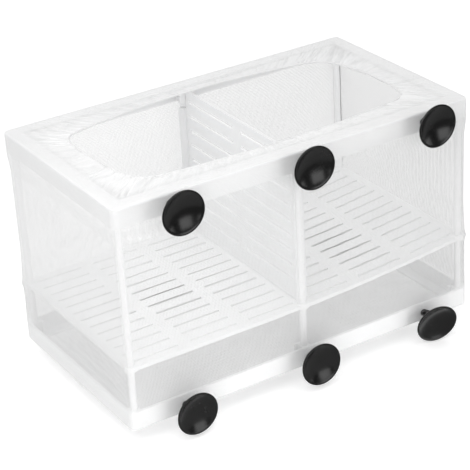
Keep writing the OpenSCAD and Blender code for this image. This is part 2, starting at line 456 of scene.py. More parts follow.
class Finish:
    """A finish that can make its Blender material once."""

    name: str

    def material(self) -> bpy.types.Material:
        """Makes the material, or finds it if it is there.

        Returns:
            The material.
        """
        found = bpy.data.materials.get(self.name)
        if found:
            return found
        made, nodes = new_material(self.name)
        shader = nodes.add("BsdfPrincipled")
        nodes.end(shader.outputs[0])
        self.dress(nodes, shader)
        return made

    def dress(self, nodes: ShaderTree, shader: bpy.types.Node) -> None:
        """Sets the shader up; each finish has its own."""

    def bump(
        self,
        nodes: ShaderTree,
        shader: bpy.types.Node,
        height: object,
        strength: float,
        depth: float,
    ) -> None:
        """Adds a bump to the shader's normal.

        Args:
            nodes: The material's tree.
            shader: The Principled node.
            height: Socket with the height.
            strength: Strength of the bump.
            depth: Height of a step of 1, in metres.
        """
        node = nodes.add("Bump", Strength=strength, Distance=depth)
        nodes.link(height, node.inputs["Height"])
        nodes.link(node.outputs[0], shader.inputs["Normal"])


@dataclass(frozen=True)
class MouldedPlastic(Finish):
    """White moulded plastic with a soft gloss."""

    name: str
    tone: float
    shaded: float
    gloss: float
    cool: float = 0.002
    # Tone painted on the slots' upright walls: painted light that lifts the shade inside the
    # slots.
    slot_wall_light_tone: float = 0.0
    slots_half: tuple[float, float] = (0.0, 0.0)
    slots_axes: tuple[int, int] = (0, 1)
    # Painted shade: tone of the plate's ends past ends_from.
    ends_shade_tone: float = 0.0
    ends_from: float = 0.0
    # Painted shade: tone of the slot walls in the middle of each pen, where little light comes up.
    pen_shade_tone: float = 0.0
    pens: tuple[tuple[float, float, float, float], ...] = ()

    def dress(self, nodes: ShaderTree, shader: bpy.types.Node) -> None:
        """Sets up the plastic, with painted light on slot walls and painted shade in pens and on
        ends.

        Args:
            nodes: The material's tree.
            shader: Its Principled node.
        """
        place = nodes.add("TexCoord").outputs["Object"]
        marks = MouldMarks.put(nodes, place, Scuffs=0.7)
        colour = nodes.blend(
            marks.outputs["Shade"], grey(self.shaded, self.cool), grey(self.tone, self.cool)
        )
        # Painted light: the slots' walls get a lighter tone of their own.
        if self.slot_wall_light_tone:
            walls = self.slot_walls(nodes, place)
            colour = nodes.blend(walls, colour, grey(self.slot_wall_light_tone, self.cool))
            # Painted shade: the slot walls darken towards the middle of each pen.
            if self.pens:
                dark = nodes.math("MULTIPLY", walls, self.dim_pens(nodes, place))
                colour = nodes.blend(dark, colour, grey(self.pen_shade_tone))
        # Painted shade: the plate's ends get a darker tone.
        if self.ends_shade_tone:
            out = nodes.math("ABSOLUTE", nodes.axes(place)[1])
            ends = nodes.ease(out, (self.ends_from - 1) * MM, (self.ends_from + 1) * MM)
            colour = nodes.blend(ends, colour, grey(self.ends_shade_tone, self.cool))
        nodes.link(colour, shader.inputs["Base Color"])
        rough = nodes.math("MULTIPLY", marks.outputs["Rub"], 0.22)
        nodes.link(nodes.math("ADD", rough, self.gloss, clamp=True), shader.inputs["Roughness"])
        self.bump(nodes, shader, marks.outputs["Height"], 0.25, 0.00012)

    def slot_walls(self, nodes: ShaderTree, place: object) -> object:
        """Finds the upright walls of the slots.

        Args:
            nodes: The material's tree.
            place: Socket with the object's coordinates.

        Returns:
            A socket that is 1 on the slots' walls and 0 elsewhere.
        """
        across = 3 - sum(self.slots_axes)
        normal = nodes.axes(nodes.add("TexCoord").outputs["Normal"])
        edge_on = nodes.math("LESS_THAN", nodes.math("ABSOLUTE", normal[across]), 0.5)
        axes = nodes.axes(place)
        inside = [
            nodes.math("LESS_THAN", nodes.math("ABSOLUTE", axes[k]), half * MM)
            for k, half in zip(self.slots_axes, self.slots_half)
        ]
        return nodes.math("MULTIPLY", edge_on, nodes.math("MULTIPLY", *inside))

    def dim_pens(self, nodes: ShaderTree, place: object) -> object:
        """Finds where little light comes up through the slots.

        Args:
            nodes: The material's tree.
            place: Socket with the object's coordinates.

        Returns:
            A socket that is 1 in the middle of each pen and falls off round it.
        """
        axes = nodes.axes(place)
        total = None
        for x, y, reach_x, reach_y in self.pens:
            away = []
            for k, (middle, reach) in enumerate(((x, reach_x), (y, reach_y))):
                off = nodes.math("SUBTRACT", axes[k], middle * MM)
                share = nodes.math("DIVIDE", off, reach * MM)
                away.append(nodes.math("MULTIPLY", share, share))
            pen = nodes.math("DIVIDE", 1.0, nodes.math("ADD", nodes.math("ADD", *away), 1.0))
            pen = nodes.math("MULTIPLY", pen, pen)
            total = pen if total is None else nodes.math("MAXIMUM", total, pen)
        return total


@dataclass(frozen=True)
class NetCloth(Finish):
    """Fine white netting; its clear threads let a share of the light through."""

    name: str
    tone: float = 0.88
    pitch: float = 1.0
    thread: float = 0.1
    haze: float = 0.2
    waver: float = 0.4
    solid: float = 0.95
    gathered: float = 0.1
    clear: float = 0.7
    slanted: float = 0.47
    least_facing: float = 0.25
    # How strongly the painted shade shows, and the share of the tone that it darkens the cloth to.
    shade_paint: float = 0.48
    shade_tone: float = 0.4
    cast: float = 0.04

    def dress(self, nodes: ShaderTree, shader: bpy.types.Node) -> None:
        """Sets up the threads, thicker where the cloth is gathered.

        Args:
            nodes: The material's tree.
            shader: Its Principled node.
        """
        cloth = nodes.add("UVMap", uv_map="cloth").outputs[0]
        gather = nodes.add("Attribute", attribute_name="gather").outputs["Fac"]
        thread = nodes.math("ADD", nodes.math("MULTIPLY", gather, self.gathered), self.thread)
        facing = nodes.add("LayerWeight", Blend=0.5).outputs["Facing"]
        square_on = nodes.math("SUBTRACT", 1.0, facing)
        square_on = nodes.math("MAXIMUM", square_on, self.least_facing)
        slant = nodes.math("ADD", nodes.math("DIVIDE", self.slanted, square_on), 1 - self.slanted)
        thread = nodes.math("MULTIPLY", thread, slant)
        net = NetThreads.put(
            nodes, cloth, Pitch=self.pitch, Thread=thread, Edge=0.045, Waver=self.waver
        )
        path = nodes.add("LightPath")
        rays = (path.outputs["Is Shadow Ray"], path.outputs["Is Diffuse Ray"])
        through = nodes.math("MAXIMUM", *rays)
        light = nodes.math("SUBTRACT", self.solid, nodes.math("MULTIPLY", through, self.clear))
        threads = nodes.math("MULTIPLY", net.outputs["Mask"], 1 - self.haze)
        covered = nodes.math("ADD", threads, self.haze)
        nodes.link(nodes.math("MULTIPLY", covered, light), shader.inputs["Alpha"])
        cast = nodes.texture(cloth, Scale=0.04, Detail=3.0).outputs[0]
        duller, brighter = grey(self.tone - self.cast), grey(self.tone + self.cast, 0.003)
        colour = nodes.blend(cast, duller, brighter)
        # Painted shade: the cloth darkens by the share set in the web's fold valleys, past the
        # ring's inner edge and across the walls.
        folds_and_shade = nodes.add("Attribute", attribute_name="folds_and_shade").outputs["Fac"]
        folds_and_shade = nodes.math("MULTIPLY", folds_and_shade, self.shade_paint)
        colour = nodes.blend(folds_and_shade, colour, grey(self.tone * self.shade_tone))
        nodes.link(colour, shader.inputs["Base Color"])
        shader.inputs["Roughness"].default_value = 0.5
        shader.inputs["Sheen Weight"].default_value = 0.15
        self.bump(nodes, shader, net.outputs["Height"], 0.3, 0.0001)


@dataclass(frozen=True)
class BoundEdge(Finish):
    """Folded netting over elastic, or over itself in a seam."""

    name: str
    tone: float
    shade_paint: float
    fold: float
    # Painted shade: tone of the faces that look into the box, 0 for none.
    inside: float = 0.0

    def dress(self, nodes: ShaderTree, shader: bpy.types.Node) -> None:
        """Sets up the folded cloth, with painted shade in its fold valleys and on a seam's inward
        side.

        Args:
            nodes: The material's tree.
            shader: Its Principled node.
        """
        cloth = nodes.add("UVMap", uv_map="cloth").outputs[0]
        net = NetThreads.put(nodes, cloth, Pitch=0.5, Thread=0.14, Edge=0.08, Waver=0.4)
        folds = nodes.texture(cloth, Scale=self.fold, Detail=3.0)
        folds_and_shade = nodes.ease(folds.outputs[0], 0.38, 0.6)
        # Painted shade: the fold valleys get the darker tone.
        colour = nodes.blend(folds_and_shade, grey(self.shade_paint), grey(self.tone, 0.002))
        # Painted shade on the side of the seam that faces into the box.
        if self.inside:
            normal = nodes.axes(nodes.add("TexCoord").outputs["Normal"])
            gap = nodes.math("LESS_THAN", normal[0], -0.2)
            colour = nodes.blend(gap, colour, grey(self.inside))
        nodes.link(colour, shader.inputs["Base Color"])
        shader.inputs["Roughness"].default_value = 0.6
        height = nodes.math("ADD", net.outputs["Height"], nodes.math("MULTIPLY", folds_and_shade, 2.0))
        self.bump(nodes, shader, height, 0.5, 0.00015)


@dataclass(frozen=True)
class BlackRubber(Finish):
    """Soft black rubber with a polished face."""

    name: str = "black_rubber"
    tone: float = 0.004
    dusty: float = 0.008
    gloss: float = 0.22
    ior: float = 1.62

    def dress(self, nodes: ShaderTree, shader: bpy.types.Node) -> None:
        """Sets up the rubber with faint dust and handling marks.

        Args:
            nodes: The material's tree.
            shader: Its Principled node.
        """
        place = nodes.add("TexCoord").outputs["Object"]
        marks = MouldMarks.put(nodes, place, Grain=1400.0, Flow=70.0, Scuffs=1.0)
        colour = nodes.blend(marks.outputs["Rub"], grey(self.tone), grey(self.dusty))
        nodes.link(colour, shader.inputs["Base Color"])
        rough = nodes.math("MULTIPLY", marks.outputs["Rub"], 0.12)
        nodes.link(nodes.math("ADD", rough, self.gloss), shader.inputs["Roughness"])
        shader.inputs["IOR"].default_value = self.ior
        self.bump(nodes, shader, marks.outputs["Height"], 0.15, 0.00008)


class Spot(NamedTuple):
    """A point of a sheet, its place on the cloth, how gathered it is and its painted shade."""

    point: Vector
    cloth: tuple[float, float]
    shares: tuple[float, float] = (0.0, 0.0)


class Piece:
    """A mesh under construction, in millimetres."""

    def __init__(self, name: str) -> None:
        """Starts an empty mesh with a map of the cloth, its gathers and its painted shade.

        Args:
            name: The piece's name.
        """
        self.name = name
        self.mesh = bmesh.new()
        self.cloth = self.mesh.loops.layers.uv.new("cloth")
        self.gather = self.mesh.verts.layers.float.new("gather")
        self.folds_and_shade = self.mesh.verts.layers.float.new("folds_and_shade")

    def grid(
        self, rows: list[list[Spot]], closed: bool = False
    ) -> list[list[bmesh.types.BMVert]]:
        """Adds a sheet of four-sided faces.

        Args:
            rows: Rows of spots, each row as long as the next.
            closed: Joins each row's end to its start; a row's last spot only ends its map.

        Returns:
            Rows of the new vertices.
        """
        columns = len(rows[0]) - closed
        verts = []
        for row in rows:
            verts.append([self.mesh.verts.new(spot.point * MM) for spot in row[:columns]])
            for vert, spot in zip(verts[-1], row):
                vert[self.gather], vert[self.folds_and_shade] = spot.shares
        for i in range(len(rows) - 1):
            near, far = verts[i], verts[i + 1]
            for j in range(len(rows[0]) - 1):
                k = (j + 1) % columns
                face = self.mesh.faces.new((near[j], near[k], far[k], far[j]))
                face.smooth = True
                spots = (rows[i][j], rows[i][j + 1], rows[i + 1][j + 1], rows[i + 1][j])
                for loop, spot in zip(face.loops, spots):
                    loop[self.cloth].uv = spot.cloth
        return verts

    def finish(self, material: bpy.types.Material, body: str, slot: str) -> bpy.types.Object:
        """Turns the mesh into an object that rides on a body.

        Args:
            material: The piece's material.
            body: The body that it rides on.
            slot: Not used.

        Returns:
            The object.
        """
        bmesh.ops.recalc_face_normals(self.mesh, faces=self.mesh.faces)
        data = bpy.data.meshes.new(self.name)
        self.mesh.to_mesh(data)
        self.mesh.free()
        data.materials.append(material)
        made = add_object(self.name, data)
        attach(made, body)
        LOG.info("%s: %d faces", self.name, len(data.polygons))
        return made


class Panel(Enum):
    """The bag's walls: piece, node, way along it from its left end, and way out of it."""

    FRONT = ("bag_front", "net_front", (1, 0), (0, -1))
    RIGHT = ("bag_right", "net_right", (0, 1), (1, 0))
    BACK = ("bag_back", "net_back", (-1, 0), (0, 1))
    LEFT = ("bag_left", "net_left", (0, -1), (-1, 0))

    @property
    def piece(self) -> str:
        """Name of the piece."""
        return self.value[0]

    @property
    def node(self) -> str:
        """Name of the node that it replaces."""
        return self.value[1]

    @property
    def long(self) -> bool:
        """True for the front and back."""
        return self.value[2][0] != 0

    def place(self, along: float, out: float, z: float) -> Vector:
        """Point at a distance along the wall from its middle, and out from the box's middle."""
        (ax, ay), (ox, oy) = self.value[2], self.value[3]
        return Vector((along * ax + out * ox, along * ay + out * oy, z))


@dataclass(frozen=True)
class TrayLine:
    """Where the tray and its collars meet the bag."""

    height: float = 41.5
    bend_start: float = 30.0
    bend_r: float = 1338.1
    collar_middle: float = 1.8

    def under(self, x: float) -> float:
        """Height of the tray's underside at a distance x from the box's middle."""
        run = max(0.0, x + self.bend_start)
        return self.height + self.bend_r - math.sqrt(self.bend_r**2 - run**2)


@dataclass(frozen=True)
class Drape:
    """How far the cloth is drawn in, free or held by a post, and what pushes it out."""

    taut_over: float = 16.0
    held_low: float = 0.32
    held_more: float = 0.85
    free_low: float = 1.2
    free_more: float = 1.1
    corner_post: float = 15.0
    middle_post: float = 10.0
    ripples: float = 0.14
    ripple_long: float = 9.0
    ripple_tall: float = 14.0
    drawn_from: float = 5.0
    drawn_to: float = 28.0
    corner_share: float = 0.8
    tray_push: float = 0.5
    tray_middle: float = 1.2
    tray_band: float = 2.6
    collar_push: float = 0.95
    collar_wide: float = 6.0
    collar_tall: float = 2.3


@dataclass
class NetBag:
    """The sewn bag: one shell drawn over the rings, with its web, hem and seam."""

    half_l: float = 132.2
    half_w: float = 73.5
    low: float = 0.2
    high: float = 153.6
    edge_r: float = 1.7
    corner_r: float = 4.7
    corner_turns: tuple[float, ...] = (11, 23, 34, 45)
    ring_top: float = 13.4
    ring_under: float = 140.4
    ring_inner_l: float = 122.4
    ring_inner_w: float = 63.7
    hem_z: float = 153.1
    hem_r: float = 0.7
    hem_sides: int = 10
    hem_rows: int = 760
    hem_wrap: float = 0.44
    floor_sag: float = 0.5
    floor_ripples: float = 0.25
    floor_step: float = 3.0
    floor_edge: float = 5.0
    edge_lines: tuple[float, ...] = (0, 0.35, 0.8, 1.3, 2, 2.8, 3.6, 4.4)
    sag_over: float = 30.0
    web_rows: int = 20
    web_share: float = 0.55
    web_crowding: float = 1.35
    web_fullness: float = 1.3
    web_lap: float = 0.3
    long_stretch: int = 200
    short_stretch: int = 88
    seam_low: float = 13.6
    seam_high: float = 140.2
    seam_rows: int = 64
    step: float = 2.6
    tray: TrayLine = TrayLine()
    drape: Drape = Drape()
    hem_points: tuple[tuple[float, float], ...] = (
        (106.5, -10), (105.8, 5), (103.5, 20), (100, 31), (96, 38.5), (88, 44), (78, 46.5),
        (60, 49.3), (40, 51.5), (20, 53), (0, 53.2), (-20, 52.3), (-40, 51), (-60, 48.3),
        (-80, 45), (-94, 41.5), (-101.5, 38), (-105.5, 30), (-106.5, 18), (-105.8, 0),
        (-104.8, -18), (-103, -31), (-98.5, -42), (-90, -47.5), (-76, -50), (-50, -52),
        (-20, -53.3), (10, -53.5), (40, -52.8), (65, -50.5), (85, -48.3), (98, -44.5),
        (103.5, -37), (106, -25),
    )

    def pull(self, panel: Panel, along: float, x: float, z: float) -> float:
        """Depth to which the cloth is drawn in between the rings.

        Args:
            panel: The wall.
            along: Distance along the wall from its middle.
            x: The point's x.
            z: The point's height.

        Returns:
            Millimetres inwards from the rings' faces, less than 0 where a collar pushes it out.
        """
        near = min(z - self.ring_top, self.ring_under - z)
        if near <= 0:
            return 0.0
        drape = self.drape
        taut = smoothstep(0, drape.taut_over, near)
        level = self.tray.under(x)
        above = smoothstep(level + drape.drawn_from, level + drape.drawn_to, z)
        half = self.half_l if panel.long else self.half_w
        support = bell(half - abs(along), drape.corner_post)
        if panel.long:
            support = max(support, bell(along, drape.middle_post))
        held = taut * (drape.held_low + drape.held_more * above)
        free = taut * (drape.free_low + drape.free_more * above)
        free -= drape.tray_push * bell(z - level - drape.tray_middle, drape.tray_band)
        wave = ripple(along / drape.ripple_long, z / drape.ripple_tall, 3.1 + half)
        free += taut * drape.ripples * wave
        knob = bell(half - abs(along), drape.collar_wide)
        knob *= bell(z - level - self.tray.collar_middle, drape.collar_tall)
        return mix(free, held, support) - drape.collar_push * knob

    def shade(self, panel: Panel, x: float, z: float) -> float:
        """Finds the painted shade on a wall's cloth: none over the rings, darker to the right and
        low down.

        Args:
            panel: The wall.
            x: The point's x.
            z: The point's height.

        Returns:
            A share of painted shade, 0 over the rings and up to 1 in the open.
        """
        free = smoothstep(-0.5, 3, z - self.ring_top) * smoothstep(-10, 4, self.ring_under - z)
        low = smoothstep(66, 42, z)
        # Painted shade, set wall by wall: most on the right wall, rising to the right on the front
        # and back, lower down on the left.
        if panel is Panel.LEFT:
            painted_dark = 0.05 + 0.25 * low
        elif panel is Panel.RIGHT:
            painted_dark = 0.95
        elif panel is Panel.BACK:
            painted_dark = 0.32 + 0.68 * smoothstep(-150, 150, x)
        else:
            painted_dark = smoothstep(-150, 150, x) * mix(0.6, 0.75, low)
        return free * min(1.0, painted_dark)

    def wall_rows(self) -> list[tuple[float, float]]:
        """Heights of a wall's rows of points, each with its inset round the rings' edges.

        Returns:
            Pairs of height and inset.
        """
        turns = [math.radians(a) for a in (45, 30, 15)]
        insets = [self.edge_r * (1 - math.cos(a)) for a in turns]
        rises = [self.edge_r * (1 - math.sin(a)) for a in turns]
        rows = [(self.low + rise, inset) for rise, inset in zip(rises, insets)]
        start, end = self.low + self.edge_r, self.high - self.edge_r
        steps = round((end - start) / self.step)
        rows += [(start + (end - start) * i / steps, 0.0) for i in range(steps + 1)]
        rows += [(self.high - rise, inset) for rise, inset in zip(rises[::-1], insets[::-1])]
        return rows

    def wall(self, panel: Panel, cloth: NetCloth) -> None:
        """Builds one wall, from half round one corner to half round the next.

        Args:
            panel: The wall.
            cloth: Its netting.
        """
        half, depth = (self.half_l, self.half_w) if panel.long else (self.half_w, self.half_l)
        steps = round(2 * half / self.step)
        stations = [(-1, math.radians(a)) for a in self.corner_turns[::-1]]
        stations += [(0, 2 * i / steps - 1) for i in range(steps + 1)]
        stations += [(1, math.radians(a)) for a in self.corner_turns]
        rows = []
        for z, inset in self.wall_rows():
            row = []
            for side, value in stations:
                end = half if side == 0 and value > 0 or side > 0 else -half
                corner = panel.place(end, depth, z)
                held = self.pull(panel, end, corner.x, z)
                radius = self.corner_r - self.drape.corner_share * held - inset
                middle = half - held - inset - radius
                if side:
                    along = side * (middle + radius * math.sin(value))
                    out = depth - held - inset - radius * (1 - math.cos(value))
                    spot = side * (half - self.corner_r + self.corner_r * value)
                else:
                    along = value * middle
                    x = panel.place(along, depth, z).x
                    out = depth - inset - self.pull(panel, along, x, z)
                    spot = value * (half - self.corner_r)
                point = panel.place(along, out, z)
                row.append(Spot(point, (spot, z), (0.0, self.shade(panel, point.x, z))))
            rows.append(row)
        piece = Piece(panel.piece)
        piece.grid(rows)
        made = piece.finish(cloth.material(), "cage", "net_mesh")
        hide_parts(panel.node)

    def floor(self, cloth: NetCloth) -> None:
        """Builds the floor, which turns up round the bottom ring's edges.

        Args:
            cloth: Its netting.
        """
        turn = self.edge_r * (1 - math.cos(math.radians(45)))
        half_l, half_w, radius = self.half_l - turn, self.half_w - turn, self.corner_r - turn

        def lines(half: float) -> list[float]:
            """Spaces the grid's lines, closer near the edges.

            Args:
                half: Distance of the last line from the middle.

            Returns:
                Each line's distance from the middle.
            """
            near = [half - v for v in self.edge_lines]
            middle = half - self.floor_edge
            steps = round(middle / self.floor_step)
            inner = [middle * i / steps for i in range(steps, -1, -1)]
            right = near + inner
            return [-v for v in right[:-1]] + right[::-1]

        rows = []
        for y in lines(half_w):
            past = max(0.0, abs(y) - (half_w - radius))
            reach = half_l - radius + math.sqrt(max(0.0, radius**2 - past**2))
            row = []
            for x in lines(half_l):
                px = x * reach / half_l
                corner_x = max(0.0, abs(px) - (half_l - radius))
                inset = min(half_l - abs(px), half_w - abs(y))
                if corner_x and past:
                    inset = radius - math.hypot(corner_x, past)
                lift = self.edge_r - max(0.0, inset) - turn
                z = self.low
                if lift > 0:
                    z += self.edge_r - math.sqrt(max(0.0, self.edge_r**2 - lift**2))
                free = smoothstep(0, self.sag_over, self.ring_inner_l - abs(px))
                free *= smoothstep(0, self.sag_over, self.ring_inner_w - abs(y))
                z -= free * (self.floor_sag + self.floor_ripples * ripple(px / 26, y / 20, 8.2))
                row.append(Spot(Vector((px, y, z)), (px, y)))
            rows.append(row)
        piece = Piece("bag_floor")
        piece.grid(rows)
        made = piece.finish(cloth.material(), "cage", "net_mesh")
        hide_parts("net_floor")

    def hem_line(self, count: int = 1600) -> list[Vector]:
        """The hem's middle line, smoothed through the points read from the photograph.

        Args:
            count: Number of points.

        Returns:
            A closed loop of points, without the first one repeated.
        """
        keys = [Vector((x, y, self.hem_z)) for x, y in self.hem_points]
        loop = []
        for i in range(count):
            at = i * len(keys) / count
            k, t = int(at), at - int(at)
            a, b, c, d = (keys[(k + j) % len(keys)] for j in (-1, 0, 1, 2))
            curve = 2 * b + (c - a) * t + (2 * a - 5 * b + 4 * c - d) * t**2
            loop.append(0.5 * (curve + (3 * b - 3 * c + d - a) * t**3))
        return loop

    def outer_line(self, inset: float, z: float) -> list[Vector]:
        """The bag's outline at one height.

        Args:
            inset: Distance inside the bag's largest outline.
            z: Height.

        Returns:
            A closed loop that starts in the middle of the front and runs to the right.
        """
        radius = max(0.3, self.corner_r - inset)
        cx, cy = self.half_l - inset - radius, self.half_w - inset - radius
        loop = [Vector((0, -cy - radius, z))]
        for k, (sx, sy) in enumerate(((1, -1), (1, 1), (-1, 1), (-1, -1))):
            for i in range(9):
                turn = math.radians(-90 + 90 * k + 90 * i / 8)
                x, y = sx * cx + radius * math.cos(turn), sy * cy + radius * math.sin(turn)
                loop.append(Vector((x, y, z)))
        return loop

    @staticmethod
    def spread(loop: list[Vector], marks: list[Vector], counts: list[int]) -> list[Vector]:
        """Spaces points evenly along a closed loop between marks.

        Args:
            loop: The loop, counterclockwise.
            marks: A point on or near the loop for the start of each stretch.
            counts: Number of points in each stretch.

        Returns:
            The spaced points.
        """
        size = len(loop)
        reach = [0.0]
        for i in range(size):
            reach.append(reach[-1] + (loop[(i + 1) % size] - loop[i]).length)
        total = reach[-1]

        def nearest(mark: Vector) -> float:
            """Finds the loop's point nearest to a mark.

            Args:
                mark: The mark.

            Returns:
                The point's distance along the loop.
            """
            best = (1e9, 0.0)
            for i in range(size):
                a, b = loop[i], loop[(i + 1) % size]
                way = b - a
                t = min(1.0, max(0.0, (mark - a).dot(way) / max(way.length_squared, 1e-9)))
                gap = (a + way * t - mark).length
                best = min(best, (gap, reach[i] + t * way.length))
            return best[1]

        starts = [nearest(mark) for mark in marks]
        made, wanted, i = [], [], 0
        for k, count in enumerate(counts):
            a, b = starts[k], starts[(k + 1) % len(starts)]
            b += total if b <= a + 1e-6 else 0
            wanted += [(a + (b - a) * j / count) % total for j in range(count)]
        for at in wanted:
            while not reach[i] <= at <= reach[i + 1]:
                i = (i + 1) % size
            share = (at - reach[i]) / max(reach[i + 1] - reach[i], 1e-9)
            made.append(loop[i].lerp(loop[(i + 1) % size], share))
        return made

    def web(self, cloth: NetCloth) -> None:
        """Builds the gathered web between the top ring's edge and the hem.

        Args:
            cloth: Its netting.
        """
        corners = ((97, -45), (97, 38), (-101.5, 38), (-98, -42.5))
        sides = ((0, -53.5), (106.3, -3), (0, 53.2), (-105.8, 0))
        marks = [Vector((x, y, self.hem_z)) for pair in zip(sides, corners) for x, y in pair]
        ends = [(0, -1), (1, -1), (1, 0), (1, 1), (0, 1), (-1, 1), (-1, 0), (-1, -1)]
        long, short = self.long_stretch, self.short_stretch
        counts = [long, short, short, long] * 2
        hem = self.spread(self.hem_line(), marks, counts)
        loops = []
        for turn in (math.radians(a) for a in (45, 60, 75, 90)):
            inset = self.edge_r * (1 - math.cos(turn))
            z = self.high - self.edge_r * (1 - math.sin(turn))
            reach = Vector((self.half_l - inset, self.half_w - inset, 0))
            outer_marks = [Vector((x * reach.x, y * reach.y, z)) for x, y in ends]
            loops.append(self.spread(self.outer_line(inset, z), outer_marks, counts))
        total = sum(counts)
        lengths = [0.0]
        for j in range(total):
            lengths.append(lengths[-1] + (hem[(j + 1) % total] - hem[j]).length)
        shares = [[(0.0, 0.0)] * total for _ in loops]
        for i in range(1, self.web_rows + 1):
            level = 1 - (1 - i / self.web_rows) ** self.web_crowding
            row, gathers = [], []
            for j in range(total):
                spot = loops[3][j].lerp(hem[j], level)
                flat = mix(self.high, self.hem_z + self.web_lap, level)
                z, gather, folds_and_shade = self.gathered(spot, level, lengths[j], flat)
                row.append(Vector((spot.x, spot.y, z)))
                gathers.append((gather, folds_and_shade))
            loops.append(row)
            shares.append(gathers)
        rows = []
        for loop, gathers in zip(loops, shares):
            row = []
            for j in range(total + 1):
                point = loop[j % total]
                depth = (point.xy - loops[0][j % total].xy).length
                place = (lengths[j] * self.web_fullness, depth)
                row.append(Spot(point, place, gathers[j % total]))
            rows.append(row)
        piece = Piece("bag_web")
        piece.grid(rows, closed=True)
        made = piece.finish(cloth.material(), "cage", "net_mesh")
        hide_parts("net_collar")

    def gathered(
        self, spot: Vector, level: float, at: float, z: float
    ) -> tuple[float, float, float]:
        """Folds of the web at one point.

        Args:
            spot: The point, with its height before the folds.
            level: Share of the way from the ring's edge to the hem.
            at: Distance along the hem.
            z: Height before the folds.

        Returns:
            The height with the folds, how gathered the cloth is and its painted shade.
        """
        corner = smoothstep(52, 100, abs(spot.x)) * smoothstep(14, 44, abs(spot.y) + 4)
        beyond = max(abs(spot.x) - self.ring_inner_l, abs(spot.y) - self.ring_inner_w)
        free = smoothstep(2.5, -4, beyond)
        skew = 6.0 * corner * ripple(at / 30, level, 2.9)
        fold = ripple(at / 1.7 + skew, level * 1.9, 1.7)
        fold += 0.6 * ripple(at / 4.1 + skew, level * 3.1, 5.3)
        fold += 0.5 * ripple(at / 1.0, level * 5.0, 9.4)
        height = free * (0.3 + 0.7 * corner) * smoothstep(0.0, 0.9, level)
        on_ring = (1 - free) * (0.12 + 0.4 * corner) * smoothstep(0, 0.2, level)
        z += height * fold + on_ring * max(0.0, fold)
        z -= free * 0.5 * math.sin(math.pi * smoothstep(0.35, 1, level)) * (1 - 0.4 * corner)
        edge = bell(beyond + 2.2, 2.0) * smoothstep(1, 0.85, level)
        z -= 0.45 * edge
        # Painted shade in the fold valleys and along the dip past the ring's inner edge.
        folds_and_shade = 0.25 * edge + (0.2 + 0.5 * free) * (0.4 + 0.6 * corner) * max(0.0, -fold)
        return z, level * (0.4 + 0.6 * corner) + 0.5 * free * max(0.0, fold), min(1.0, folds_and_shade)

    def hem(self, finish: BoundEdge) -> None:
        """Builds the elastic hem, ruffled where the cloth is drawn up on it.

        Args:
            finish: Its folded cloth.
        """
        up = Vector((0, 0, 1))
        start = Vector((*self.hem_points[0], self.hem_z))
        line = self.spread(self.hem_line(), [start], [self.hem_rows])
        rows, at = [], 0.0
        for i, spot in enumerate(line):
            way = (line[(i + 1) % len(line)] - line[i - 1]).normalized()
            side = way.cross(up).normalized()
            swell = 1 + 0.16 * ripple(at / 1.1, 0, 4.4) + 0.12 * ripple(at / 3.2, 0, 7.7)
            centre = spot + Vector((0, 0, 0.12 * ripple(at / 2.4, 0, 2.2)))
            row = []
            for j in range(self.hem_sides + 1):
                turn = 2 * math.pi * j / self.hem_sides
                r = self.hem_r * swell * (1 + 0.1 * ripple(at / 0.9, 3 * j / self.hem_sides, 6.1))
                point = centre + (side * math.cos(turn) + up * math.sin(turn)) * r
                row.append(Spot(point, (at, j * self.hem_wrap)))
            rows.append(row)
            at += (line[(i + 1) % len(line)] - spot).length
        rows.append([Spot(spot.point, (at, spot.cloth[1])) for spot in rows[0]])
        piece = Piece("hem_elastic")
        piece.grid(rows, closed=True)
        bmesh.ops.remove_doubles(piece.mesh, verts=piece.mesh.verts, dist=1e-7)
        made = piece.finish(finish.material(), "cage", "hem_binding")
        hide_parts("elastic_hem")

    def seam(self, finish: BoundEdge) -> None:
        """Builds the folded seam in the back right corner.

        Args:
            finish: Its folded cloth.
        """
        section = [(131.75, 73.0), (131.3, 72.9), (131.2, 71.2), (130.95, 70.6), (130.75, 70.1),
                   (130.8, 69.6), (131.15, 69.35), (131.5, 69.6), (131.6, 70.3), (131.7, 71.3)]
        rows = []
        for i in range(self.seam_rows + 1):
            z = mix(self.seam_low, self.seam_high, i / self.seam_rows)
            sway = 0.12 * ripple(z / 9, 0, 3.3)
            rows.append([
                Spot(Vector((x, y + sway * (73 - y) / 3, z)), (z, 0.5 * j))
                for j, (x, y) in enumerate(section + section[:1])
            ])
        piece = Piece("seam_fold")
        verts = piece.grid(rows, closed=True)
        piece.mesh.faces.new(verts[0])
        piece.mesh.faces.new(verts[-1][::-1])
        made = piece.finish(finish.material(), "cage", "seam_thread")
        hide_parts("corner_seam")

    def make(self) -> None:
        """Builds the whole bag."""
        cloth = NetCloth("fine_net")
        web = NetCloth("gathered_net", tone=0.91, thread=0.125, waver=0.5, gathered=0.16)
        self.wall(Panel.FRONT, NetCloth("front_net", waver=0.3, haze=0.12, thread=0.105))
        for panel in (Panel.RIGHT, Panel.BACK, Panel.LEFT):
            self.wall(panel, cloth)
        # The floor's netting gets a darker tone: painted shade for the shade under the tray.
        self.floor(NetCloth("floor_net_painted_shade", tone=0.6))
        self.web(web)
        self.hem(BoundEdge("folded_hem", 0.97, 0.9, 1.2))
        self.seam(BoundEdge("folded_seam", 0.9, 0.8, 0.8, inside=0.15))


@dataclass(frozen=True)
class CupPose:
    """One suction cup: where its bulb sits, and how its soft neck leans."""

    name: str
    x: float
    z: float
    shift_x: float = 0.0
    shift_z: float = 0.0
    nod: float = 0.0
    turn: float = 0.0


